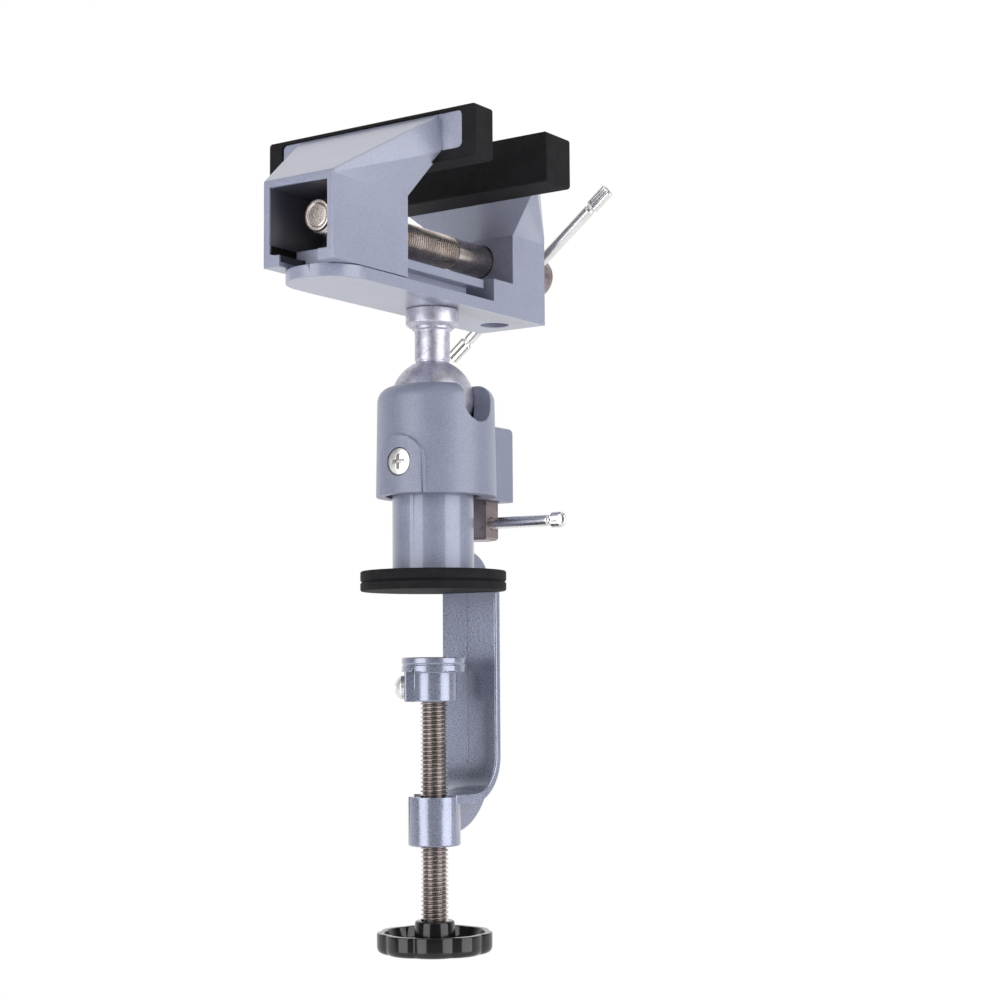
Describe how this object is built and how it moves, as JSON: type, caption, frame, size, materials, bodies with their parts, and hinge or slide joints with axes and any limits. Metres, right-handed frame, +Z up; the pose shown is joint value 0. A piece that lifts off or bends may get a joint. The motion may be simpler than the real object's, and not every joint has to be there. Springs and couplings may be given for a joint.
{
  "type": "clamp-on ball-joint table vise",
  "caption": "Table vise with a screw clamp for a bench edge, a lockable ball joint, rubber-faced jaws driven by a lead screw, and sliding bar handles.",
  "frame": {"origin": "centre of the rubber pad's underside, the face that rests on the table top, on the column's axis", "axes": "+Z up along the column; the vise screw runs along Y with the sliding jaw at -Y and the clamp's spine at +Y; the jaws are wide along X"},
  "size_m": [0.0894, 0.1409, 0.2824],
  "materials": {
    "casting_paint": "glossy hammered blue-grey paint on die-cast aluminium",
    "bright_zinc": "polished zinc-plated steel",
    "bar_chrome": "chromed steel bar",
    "nickel_thread": "nickel-plated rolled thread",
    "oiled_steel": "oiled dark steel",
    "screw_zinc": "zinc-plated cross-head screw",
    "pad_rubber": "black moulded rubber, matt with a fine grain",
    "wheel_plastic": "glossy black moulded plastic",
    "cup_plastic": "plain black nylon"
  },
  "bodies": {
    "clamp_frame": {"clamp_frame": "casting_paint", "table_pad": "pad_rubber", "ball_housing": "casting_paint", "housing_screw": "screw_zinc", "ball_seat_cup": "cup_plastic", "lock_nut": "oiled_steel", "lock_washer": "screw_zinc"},
    "foot": {"clamp_foot": "casting_paint", "foot_screw": "screw_zinc"},
    "clamp_screw": {"clamp_screw": "nickel_thread", "hand_wheel": "wheel_plastic", "wheel_washer": "screw_zinc", "wheel_screw": "screw_zinc"},
    "lock_bolt": {"lock_bolt": "oiled_steel"},
    "lock_handle": {"lock_handle": "bar_chrome"},
    "ball_stem": {"ball_stem": "bright_zinc", "stem_washer": "screw_zinc", "stem_screw": "screw_zinc"},
    "vise_bed": {"jaw_base": "casting_paint", "fixed_jaw_pad": "pad_rubber", "retaining_screw": "oiled_steel"},
    "sliding_jaw": {"movable_jaw": "casting_paint", "movable_jaw_pad": "pad_rubber", "jaw_nut": "oiled_steel"},
    "lead_screw": {"lead_screw": "oiled_steel", "thrust_washer": "oiled_steel"},
    "jaw_handle": {"jaw_handle": "bar_chrome"}
  },
  "joints": [
    {"name": "clamp_travel", "type": "slide", "parent": "clamp_frame", "child": "foot", "axis": [0, 0, 1], "range_m": [-0.031, 0.0225]},
    {"name": "clamp_screw_spin", "type": "hinge", "parent": "foot", "child": "clamp_screw", "pos_m": [0, 0, -0.05], "axis": [0, 0, 1], "range_deg": [-7452, 5412]},
    {"name": "lock_turn", "type": "hinge", "parent": "clamp_frame", "child": "lock_bolt", "pos_m": [0, 0.027, 0.025], "axis": [0, 0, 1], "range_deg": [-50, 50]},
    {"name": "lock_handle_slide", "type": "slide", "parent": "lock_bolt", "child": "lock_handle", "axis": [1, 0, 0], "range_m": [-0.021, 0.021]},
    {"name": "ball_tilt", "type": "hinge", "parent": "clamp_frame", "child": "ball_stem", "pos_m": [0, 0, 0.067], "axis": [0, 1, 0], "range_deg": [-35, 90]},
    {"name": "head_spin", "type": "hinge", "parent": "ball_stem", "child": "vise_bed", "pos_m": [0, 0, 0.0995], "axis": [0, 0, 1], "continuous": true},
    {"name": "jaw_travel", "type": "slide", "parent": "vise_bed", "child": "sliding_jaw", "axis": [0, 1, 0], "range_m": [-0.018, 0.0315]},
    {"name": "lead_screw_spin", "type": "hinge", "parent": "vise_bed", "child": "lead_screw", "pos_m": [0, 0, 0.1217], "axis": [0, 1, 0], "range_deg": [-9084, 5196]},
    {"name": "jaw_handle_slide", "type": "slide", "parent": "lead_screw", "child": "jaw_handle", "axis": [0.788, 0, 0.6157], "range_m": [-0.029, 0.029]}
  ],
  "couplings": [
    {"joint": "clamp_screw_spin", "follows": "clamp_travel", "rad_per_m": 4188.8},
    {"joint": "lead_screw_spin", "follows": "jaw_travel", "rad_per_m": -5026.5}
  ]
}
